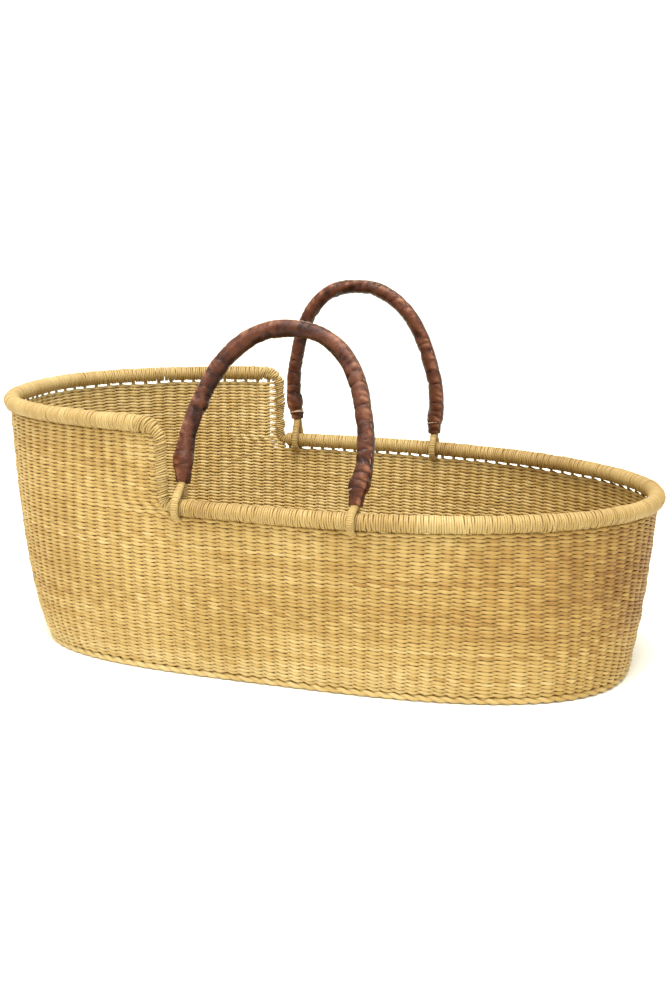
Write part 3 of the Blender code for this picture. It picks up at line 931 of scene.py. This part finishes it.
def rims():
    """The two level rolls of the rim."""
    settings = bpy.context.scene.basket
    lead = 0.007
    head = rim_line(
        angle_at(np.array(STEP_X["back"] - UPPER_BEND - lead), HEAD_HEIGHT, True),
        angle_at(np.array(STEP_X["front"] - UPPER_BEND - lead), HEAD_HEIGHT, False),
        HEAD_RING,
        HEAD_HEIGHT,
    )
    foot = rim_line(
        angle_at(np.array(STEP_X["front"] + LOWER_BEND - 0.003), FOOT_HEIGHT, False),
        angle_at(np.array(STEP_X["back"] + LOWER_BEND - 0.003), FOOT_HEIGHT, True) + 2 * math.pi,
        FOOT_RING,
        FOOT_HEIGHT,
    )
    for name, line, seed, nodes in (
        ("head_rim_winding", head, 50, ["head_rim_wrap", "rim_core"]),
        ("foot_rim_winding", foot, 60, ["foot_rim_wrap"]),
    ):
        piece = wound(
            name,
            line,
            settings.winding_pitch,
            lambda x: (RIM_RADIUS + 0.0002, RIM_RADIUS + 0.0002),
            0.0006,
            24,
            upright,
            seed,
            stray=2.0,
            taper=round_end(line.length),
        )
        finish_piece(piece, finish("wound"), "basket", nodes, open_ends=True)


def step_line(side):
    """The step's centre line, from the end of the head roll down to the foot roll."""
    x = STEP_X[side]
    lead = np.linspace(0.010, 0.0, 12)[:-1]
    start = [(x - UPPER_BEND - d, HEAD_HEIGHT) for d in lead]
    turns = np.linspace(math.pi / 2, 0.0, 30)
    middle = (x - UPPER_BEND, HEAD_HEIGHT - UPPER_BEND)
    upper = [(middle[0] + UPPER_BEND * math.cos(t), middle[1] + UPPER_BEND * math.sin(t)) for t in turns]
    bottom = FOOT_HEIGHT + LOWER_BEND
    drop = np.linspace(upper[-1][1], bottom, 40)[1:-1]
    straight = [(x, z) for z in drop]
    turns = np.linspace(math.pi, 1.5 * math.pi, 20)
    lower = [(x + LOWER_BEND + LOWER_BEND * math.cos(t), bottom + LOWER_BEND * math.sin(t)) for t in turns]
    points = np.array(start + upper + straight + lower)
    angles = angle_at(points[:, 0], points[:, 1], side == "back")
    places = wall(angles, points[:, 1])
    across = np.gradient(points, axis=0)
    ups = np.column_stack([-across[:, 1], np.zeros(len(points)), across[:, 0]])
    return Line(places, ups)


def steps():
    """The folded straw border down each step."""
    for side in SIDES:
        line = step_line(side)
        top = 0.010 + UPPER_BEND * math.pi / 2

        def radius(x):
            fall = smooth(x / top)
            wide = RIM_RADIUS + (STEP_RADIUS - RIM_RADIUS) * fall
            return 0.80 * wide, wide

        def slant(x):
            corner = 0.010 + UPPER_BEND * math.pi / 4
            return np.interp(x, (0.0, corner, top + 0.012, line.length), (0.55, 0.0, -0.42, -0.2))

        piece = wound(
            side + "_step_folds",
            line,
            0.0029,
            radius,
            0.0015,
            24,
            slant,
            70 + SIDES[side],
            ripple=0.0008,
            stray=2.4,
        )
        finish_piece(
            piece, finish("wound"), "basket", [side + "_step_wrap"], open_ends=True
        )


# Handles.


class Handle:
    """One handle's own directions: along the hinge, across it, and up the handle."""

    def __init__(self, side):
        joint = next(j for j in frame["joints"] if j["name"] == side + "_handle_swing")
        along = np.array(joint["axis"], float)
        self.along = along if along[0] > 0 else -along
        self.place = np.array(joint["pos_m"], float)
        upright = np.array((0.0, 0.0, 1.0))
        inward = np.cross(upright, self.along) * -SIDES[side]
        tilt = math.radians(HANDLE_TILT[side])
        self.up = upright * math.cos(tilt) + inward * math.sin(tilt)
        self.across = np.cross(self.up, self.along)
        ends = [wall(angle_at(np.array(x), FOOT_HEIGHT, side == "back"), FOOT_HEIGHT) for x in LOOP_X[side]]
        self.span = float(np.linalg.norm(ends[1] - ends[0]))
        self.skew = HANDLE_SKEW[side]

    def world(self, points):
        """Points in the handle's own directions as places."""
        return (
            self.place
            + points[:, :1] * self.along
            + points[:, 1:2] * self.across
            + points[:, 2:3] * self.up
        )

    def skewed(self, height):
        return self.skew * np.clip(height / HANDLE_RISE, 0.0, None) ** SKEW_POWER

    def bowed(self, height):
        """How far the legs bow outwards just above their gathered ends."""
        return HANDLE_BOW * smooth((height - 0.030) / 0.030) * smooth((0.135 - height) / 0.055)

    def arch(self, starts):
        """The middle line from one leg over the top to the other."""
        half = self.span / 2
        power = 2 / HANDLE_SQUARENESS
        turns = np.linspace(math.pi, 0.0, 401)[1:-1]
        crown_x = np.copysign(half * np.abs(np.cos(turns)) ** power, np.cos(turns))
        crown_z = HANDLE_LEG + (HANDLE_RISE - HANDLE_LEG) * np.sin(turns) ** power
        left, right = (np.linspace(start, HANDLE_LEG, 60) for start in starts)
        x = np.concatenate([np.full(60, -half), crown_x, np.full(60, half)])
        z = np.concatenate([left, crown_z, right[::-1]])
        x = x + np.sign(x) * self.bowed(z) + self.skewed(z)
        local = np.column_stack([x, np.zeros(len(x)), z])
        run = np.gradient(local, axis=0)
        ups = np.column_stack([-run[:, 2], np.zeros(len(x)), run[:, 0]])
        flat = Line(local, ups)
        even = np.linspace(0.0, flat.length, 700)
        return Line(
            self.world(flat.read(flat.places, even)),
            flat.read(flat.ups, even) @ np.stack([self.along, self.across, self.up]),
        )


# How far round from the sleeve's outer edge its seam and its crest with the painted highlight lie, in
# radians.
SEAM_TURN = 0.60
CREST_TURN = 0.85
# The sleeve's radius at distances from its nearer end.
SLEEVE_RADII = (
    (0.0, 0.0076),
    (0.003, 0.0082),
    (0.011, 0.0089),
    (0.0135, 0.0088),
    (0.018, 0.0102),
    (0.028, 0.0106),
    (0.045, 0.0101),
    (0.07, 0.0099),
)
# Spacing and depth of the sleeve's three sets of creases.
CREASES = ((0.0088, 0.00170), (0.0043, 0.00060), (0.0160, 0.00130))
SLEEVE_STEP = 0.0012
SLEEVE_SIDES = 36


def sleeve(side, handle):
    """The leather sleeve: creased across, lapped along the outer edge, gathered at both ends."""
    line = handle.arch(SLEEVE_ENDS[side])
    count = round(line.length / SLEEVE_STEP)
    pitch = line.length / count
    sections = [(0.0, 0.0, 0.0, 1.0, 1.0), (pitch, 0.0, 0.0, 1.0, 1.0)]
    piece = extruded_ring(side + "_leather_sleeve", sections, SLEEVE_SIDES)
    repeat(piece, count, pitch)
    points = points_of(piece)
    x = points[:, 0]
    turn = np.arctan2(-points[:, 1], points[:, 2])
    seed = 80 if side == "front" else 95
    near = np.minimum(x, line.length - x)
    size = np.interp(near, *zip(*SLEEVE_RADII))
    size = size + 0.00035 * drift(x, 0.023, seed)
    tip = 0.6 * drift(turn * 1.1 + 9, 1.0, seed + 1) + 0.8 * drift(x, 0.03, seed + 2)
    crease = np.zeros(len(x))
    for i, (spacing, depth) in enumerate(CREASES):
        bend = x + 0.0045 * tip + 0.0020 * np.sin(turn * (i + 1) + i)
        fold = 1 - np.abs(drift(bend, spacing, seed + 3 + i))
        crease += depth * fold**2.5 * (0.5 + 0.6 * drift(turn * 1.4 + x / 0.02, 1.0, seed + 7 + i))
    inner = 0.5 - 0.5 * np.cos(turn)
    size = size + 0.0004 - crease * (0.6 + 0.7 * inner)
    lap_place = turn - SEAM_TURN + 0.08
    lap = 0.0014 * np.exp(-np.clip(lap_place, 0.0, None) / 0.7) * smooth(lap_place / 0.12)
    size = size + lap * smooth((near - 0.004) / 0.01)
    size = size + 0.0011 * np.exp(-(((near - 0.024) / 0.009) ** 2)) * (1 + drift(turn, 1.0, seed + 15))
    gather = 0.0006 * np.sin(turn * 9 + 2 * drift(turn, 1.0, seed + 11))
    size = size + gather * (1 - smooth(near / 0.02))
    flat = np.column_stack([x, -np.sin(turn) * size, np.cos(turn) * size])
    move_points(piece, line.lay(flat))
    # The tone is painted: a painted shadow along the lapped edge, a painted highlight along the crest, and
    # painted shade on the far side and in the creases.
    shadow = 2.2 * np.exp(-(((lap_place - 0.02) / 0.07) ** 2)) * (drift(x, 0.0031, seed + 13) > -0.2)
    highlight_specks = 0.9 + 0.9 * drift(x + 0.004 * turn, 0.0035, seed + 14)
    painted_highlight = np.exp(-(((turn - CREST_TURN) / 0.55) ** 2)) * highlight_specks
    painted_side_shade = 1.1 * smooth((np.abs(turn - CREST_TURN) - 1.1) / 1.2)
    note(piece, "tone", 0.9 + painted_highlight - painted_side_shade - crease / 0.00110 - shadow)
    note(piece, "lay", flat)
    nodes = [side + "_handle_leather_sleeve", side + "_handle_core"]
    return finish_piece(
        piece, finish("leather"), side + "_handle", nodes, open_ends=True
    )


def capsule(name, length, radius, sides=6):
    """A short rounded stitch along X."""
    sections = [
        (0.0, 0.0, 0.0, 0.3 * radius, 0.3 * radius),
        (0.12 * length, 0.0, 0.25 * radius, 0.85 * radius, 0.85 * radius),
        (0.5 * length, 0.0, 0.6 * radius, radius, radius),
        (0.88 * length, 0.0, 0.25 * radius, 0.85 * radius, 0.85 * radius),
        (length, 0.0, 0.0, 0.3 * radius, 0.3 * radius),
    ]
    return extruded_ring(name, sections, sides)


def seam(side, handle):
    """Running stitches along the lapped edge of the sleeve."""
    line = handle.arch(SLEEVE_ENDS[side])
    pitch = bpy.context.scene.basket.seam_pitch
    margin = 0.020
    count = int((line.length - 2 * margin) / pitch)
    piece = capsule(side + "_seam_stitches", 0.0055, 0.00042)
    copies = repeat(piece, count, pitch)
    points = points_of(piece)
    local = points[:, 0] - copies * pitch
    turn = SEAM_TURN + 0.08 + 0.03 * drift(copies, 1.0, 120)
    height = 0.0103 + points[:, 2]
    x = margin + copies * pitch + local
    y = points[:, 1] + (local - 0.0025) * 0.25
    flat = np.column_stack(
        [x, -np.sin(turn) * height + np.cos(turn) * y, np.cos(turn) * height + np.sin(turn) * y]
    )
    move_points(piece, line.lay(flat))
    nodes = [side + "_handle_seam_lacing"]
    return finish_piece(
        piece, finish("thread"), side + "_handle", nodes, open_ends=True
    )


def binding(side, handle, end):
    """Two turns of thread round the gathered end of a sleeve."""
    sign = -1 if end == "left" else 1
    steps = BINDING_TURNS * 40
    t = np.linspace(0.0, BINDING_TURNS * 2 * math.pi, steps + 1)
    radius = BINDING_RADIUS + 0.0002 * np.sin(t * 1.5)
    place = BINDINGS[side][0 if end == "left" else 1]
    height = place + 0.0020 * (t / (2 * math.pi) - 1) * np.cos(t * 0.5) + 0.0022 * np.cos(t + 0.6)
    x = sign * (handle.span / 2 + handle.bowed(height)) + handle.skewed(height) + radius * np.cos(t)
    local = np.column_stack([x, radius * np.sin(t), height])
    ups = np.column_stack([np.cos(t), np.sin(t), 0 * t])
    line = Line(handle.world(local), ups @ np.stack([handle.along, handle.across, handle.up]))
    pitch = line.length / steps
    sections = [(x, 0.0, 0.0, THREAD_RADIUS, THREAD_RADIUS) for x in (0.0, pitch)]
    piece = extruded_ring(f"{side}_{end}_thread_binding", sections, 6)
    repeat(piece, steps, pitch)
    move_points(piece, line.lay(points_of(piece)))
    nodes = [f"{side}_handle_{end}_binding"]
    return finish_piece(
        piece, finish("thread"), side + "_handle", nodes, open_ends=True
    )


def rim_loop(side, handle, end):
    """A wound fork: down one side of the rim, under it, and up the other side."""
    sign = -1 if end == "left" else 1
    lean = math.radians(20)
    turns = np.linspace(lean, -math.pi - lean, 60)
    bend = np.column_stack([LOOP_RADIUS * np.cos(turns), LOOP_RADIUS * np.sin(turns)])
    start = SLEEVE_ENDS[side][0 if end == "left" else 1]
    top = np.array([(LOOP_APART, start + 0.018), (LOOP_APART + 0.0004, start - 0.002)])
    leg = np.concatenate([top, bend, (top * (-1, 1))[::-1]])
    rough = Line(np.column_stack([np.zeros(len(leg)), leg]), np.tile((1.0, 0.0, 0.0), (len(leg), 1)))
    even = rough.read(rough.places, np.linspace(0.0, rough.length, 160))
    for _ in range(6):
        even[1:-1] = (even[:-2] + 2 * even[1:-1] + even[2:]) / 4
    even[:, 0] = sign * handle.span / 2 + handle.skewed(even[:, 2])
    run = np.gradient(even, axis=0)
    ups = np.column_stack([np.zeros(len(even)), run[:, 2], -run[:, 1]])
    line = Line(handle.world(even), ups @ np.stack([handle.along, handle.across, handle.up]))
    free = line.length / 2

    def radius(x):
        away = np.abs(x - free)
        leg_part = smooth((away - 0.024) / 0.008) * smooth((free - away - 0.016) / 0.006)
        return 0.0046 + 0.0002 * leg_part, 0.0029 + 0.0008 * leg_part

    seed = 130 + (0 if side == "front" else 20) + (0 if end == "left" else 10)
    name = f"{side}_{end}_fork_winding"
    pitch = bpy.context.scene.basket.fork_pitch
    piece = wound(name, line, pitch, radius, 0.00045, 18, upright, seed, 0.00012)
    nodes = [f"{side}_handle_{end}_rim_loop"]
    return finish_piece(
        piece, finish("wound"), side + "_handle", nodes, open_ends=True
    )


# Stage.

# Each lamp's place, width, and power as a share of the main lamp's.
LAMPS = (
    ("key_light", (-1.6, -1.9, 2.6), 1.6, 1.0),
    ("side_light", (2.4, -1.2, 1.8), 1.6, 0.25),
    ("top_light", (0.1, -0.6, 2.5), 1.4, 1.85),
)
CAMERA_AZIMUTH = 17.55
CAMERA_ELEVATION = 16.27
CAMERA_AIM = (0.0123, 0.0, 0.12)
CAMERA_DISTANCE = 1.5938


def stage():
    """A pale sweep, soft light and the camera."""
    settings = bpy.context.scene.basket_stage
    bpy.ops.object.select_all(action="DESELECT")
    bpy.ops.mesh.primitive_plane_add(size=8.0, location=(0.0, 0.0, 0.0))
    floor = bpy.context.object
    floor.name = "floor"
    bpy.ops.object.mode_set(mode="EDIT")
    bpy.ops.mesh.select_all(action="DESELECT")
    bpy.ops.object.mode_set(mode="OBJECT")
    for edge in floor.data.edges:
        edge.select = all(floor.data.vertices[v].co.y > 3.9 for v in edge.vertices)
    bpy.ops.object.mode_set(mode="EDIT")
    bpy.ops.mesh.select_mode(type="EDGE")
    bpy.ops.mesh.extrude_region_move(TRANSFORM_OT_translate={"value": (0.0, 0.0, 5.0)})
    bpy.ops.object.mode_set(mode="OBJECT")
    sweep = floor.modifiers.new("sweep", "BEVEL")
    sweep.width = 1.5
    sweep.segments = 24
    sweep.limit_method = "ANGLE"
    bpy.ops.object.modifier_apply(modifier="sweep")
    bpy.ops.object.shade_smooth()
    paper, _, shader = new_finish("pale_paper")
    shader.inputs["Base Color"].default_value = (*settings.floor_colour, 1.0)
    shader.inputs["Roughness"].default_value = 0.9
    shader.inputs["Specular IOR Level"].default_value = 0.1
    floor.data.materials.append(paper)

    world = bpy.data.worlds.new("studio")
    bpy.context.scene.world = world
    world.use_nodes = True
    sky = world.node_tree.nodes["Background"]
    sky.inputs["Color"].default_value = (1.0, 1.0, 1.0, 1.0)
    sky.inputs["Strength"].default_value = settings.fill
    for name, place, size, share in LAMPS:
        bpy.ops.object.light_add(type="AREA", location=place)
        lamp = bpy.context.object
        lamp.name = name
        lamp.data.shape = "DISK"
        lamp.data.size = size
        lamp.data.energy = settings.key * share
        lamp.data.color = (1.0, 0.97, 0.93)
        aim = np.array((0.0, 0.0, 0.15)) - np.array(place)
        lamp.rotation_mode = "QUATERNION"
        lamp.rotation_quaternion = look(aim)

    azimuth = math.radians(CAMERA_AZIMUTH)
    elevation = math.radians(CAMERA_ELEVATION)
    back = np.array(
        (
            math.sin(azimuth) * math.cos(elevation),
            -math.cos(azimuth) * math.cos(elevation),
            math.sin(elevation),
        )
    )
    bpy.ops.object.camera_add(location=tuple(np.array(CAMERA_AIM) + back * CAMERA_DISTANCE))
    camera = bpy.context.object
    camera.name = "camera"
    camera.rotation_mode = "QUATERNION"
    camera.rotation_quaternion = look(-back)
    camera.data.lens = 44.64
    camera.data.sensor_width = 36.0
    camera.data.shift_y = 0.0456
    camera.data.clip_start = 0.05
    camera.data.clip_end = 30.0
    bpy.context.scene.camera = camera
    bpy.context.scene.view_settings.view_transform = "Standard"


def look(direction):
    """The turn that points a lamp or camera along a direction."""
    return Vector(direction).to_track_quat("-Z", "Y")


class StageSettings(bpy.types.PropertyGroup):
    """The floor and the light."""

    floor_colour: bpy.props.FloatVectorProperty(
        name="Floor colour",
        description="Colour of the pale floor",
        size=3,
        subtype="COLOR",
        default=(0.95, 0.94, 0.85),
    )
    fill: bpy.props.FloatProperty(
        name="Fill",
        description="Strength of the even light from all round",
        subtype="FACTOR",
        default=1.15,
        min=0.0,
        soft_max=3.0,
    )
    key: bpy.props.FloatProperty(
        name="Key", description="Power of the main lamp", default=46.0, unit="POWER"
    )


class BasketSettings(bpy.types.PropertyGroup):
    """Sizes and colours of the straw, the leather and the thread."""

    winding_pitch: bpy.props.FloatProperty(
        name="Winding pitch",
        description="Width of one turn of straw round the rim",
        default=0.0027,
        unit="LENGTH",
    )
    fork_pitch: bpy.props.FloatProperty(
        name="Fork pitch",
        description="Width of one turn of straw round a handle fork",
        default=0.0022,
        unit="LENGTH",
    )
    seam_pitch: bpy.props.FloatProperty(
        name="Seam pitch",
        description="Distance from one stitch of the sleeve's seam to the next",
        default=0.0078,
        unit="LENGTH",
    )
    straw_tint: bpy.props.FloatVectorProperty(
        name="Straw tint",
        description="Tints the straw's own colours",
        size=3,
        subtype="COLOR",
        default=(1.0, 1.0, 1.0),
    )
    leather_tint: bpy.props.FloatVectorProperty(
        name="Leather tint",
        description="Tints the leather's own colours",
        size=3,
        subtype="COLOR",
        default=(1.0, 1.0, 1.0),
    )


def finished(*names):
    """Ends a step, or stops the build when one of its pieces is missing."""
    for name in names:
        if name not in bpy.data.objects:
            raise RuntimeError(f"{name} was not made")
    return {"FINISHED"}


class BASKET_OT_stage(bpy.types.Operator):
    """Lays the floor, the lights and the camera"""

    bl_idname = "basket.stage"
    bl_label = "Set the stage"
    bl_options = {"REGISTER", "UNDO"}

    def execute(self, context):
        stage()
        return finished("floor", "camera", "key_light")


class BASKET_OT_edge(bpy.types.Operator):
    """Lays the rope round the base"""

    bl_idname = "basket.edge"
    bl_label = "Twist the base edge"
    bl_options = {"REGISTER", "UNDO"}

    def execute(self, context):
        edge_braid()
        return finished("base_edge_braid_rope")


class BASKET_OT_base(bpy.types.Operator):
    """Twines the base in rings"""

    bl_idname = "basket.base"
    bl_label = "Weave the base"
    bl_options = {"REGISTER", "UNDO"}

    def execute(self, context):
        base_rows()
        return finished("base_outer_rows", "base_inner_rows")


class BASKET_OT_wall(bpy.types.Operator):
    """Twines the wall in bands, then the short rows of the head end"""

    bl_idname = "basket.wall"
    bl_label = "Weave the wall"
    bl_options = {"REGISTER", "UNDO"}

    def execute(self, context):
        for band in range(BANDS):
            weave_band(band)
        head_band()
        wall_core()
        return finished("woven_band_1", "woven_head_band", "wall_core", "head_wall_core")


class BASKET_OT_stakes(bpy.types.Operator):
    """Stands the stakes in the wall"""

    bl_idname = "basket.stakes"
    bl_label = "Set the stakes"
    bl_options = {"REGISTER", "UNDO"}

    def execute(self, context):
        stakes()
        return finished("foot_stakes", "head_stakes")


class BASKET_OT_rims(bpy.types.Operator):
    """Winds straw round both level rims"""

    bl_idname = "basket.rims"
    bl_label = "Wind the rims"
    bl_options = {"REGISTER", "UNDO"}

    def execute(self, context):
        rims()
        return finished("head_rim_winding", "foot_rim_winding")


class BASKET_OT_steps(bpy.types.Operator):
    """Folds straw over the two steps"""

    bl_idname = "basket.steps"
    bl_label = "Fold the steps"
    bl_options = {"REGISTER", "UNDO"}

    def execute(self, context):
        steps()
        return finished("front_step_folds", "back_step_folds")


class BASKET_OT_handles(bpy.types.Operator):
    """Makes both handles: sleeve, seam, bindings and forks"""

    bl_idname = "basket.handles"
    bl_label = "Make the handles"
    bl_options = {"REGISTER", "UNDO"}

    def execute(self, context):
        for side in SIDES:
            handle = Handle(side)
            sleeve(side, handle)
            seam(side, handle)
            for end in ("left", "right"):
                binding(side, handle, end)
                rim_loop(side, handle, end)
        return finished("front_leather_sleeve", "back_leather_sleeve")


OPERATORS = (
    BASKET_OT_stage,
    BASKET_OT_edge,
    BASKET_OT_base,
    BASKET_OT_wall,
    BASKET_OT_stakes,
    BASKET_OT_rims,
    BASKET_OT_steps,
    BASKET_OT_handles,
)


class BASKET_PT_panel(bpy.types.Panel):
    """Lists the steps of making the basket"""

    bl_label = "Moses basket"
    bl_idname = "BASKET_PT_panel"
    bl_space_type = "VIEW_3D"
    bl_region_type = "UI"
    bl_category = "Basket"

    def draw(self, context):
        for made in OPERATORS:
            self.layout.operator(made.bl_idname)
        for group in (context.scene.basket, context.scene.basket_stage):
            for name in group.bl_rna.properties.keys():
                if name not in ("rna_type", "name"):
                    self.layout.prop(group, name)


CLASSES = (StageSettings, BasketSettings, *OPERATORS, BASKET_PT_panel)


def register():
    for made in CLASSES:
        bpy.utils.register_class(made)
    bpy.types.Scene.basket_stage = bpy.props.PointerProperty(type=StageSettings)
    bpy.types.Scene.basket = bpy.props.PointerProperty(type=BasketSettings)


def unregister():
    del bpy.types.Scene.basket
    del bpy.types.Scene.basket_stage
    for made in reversed(CLASSES):
        bpy.utils.unregister_class(made)


def main():
    register()
    bpy.ops.basket.stage()
    bpy.ops.basket.edge()
    bpy.ops.basket.base()
    bpy.ops.basket.wall()
    bpy.ops.basket.stakes()
    bpy.ops.basket.rims()
    bpy.ops.basket.steps()
    bpy.ops.basket.handles()


if __name__ == "__main__":
    main()
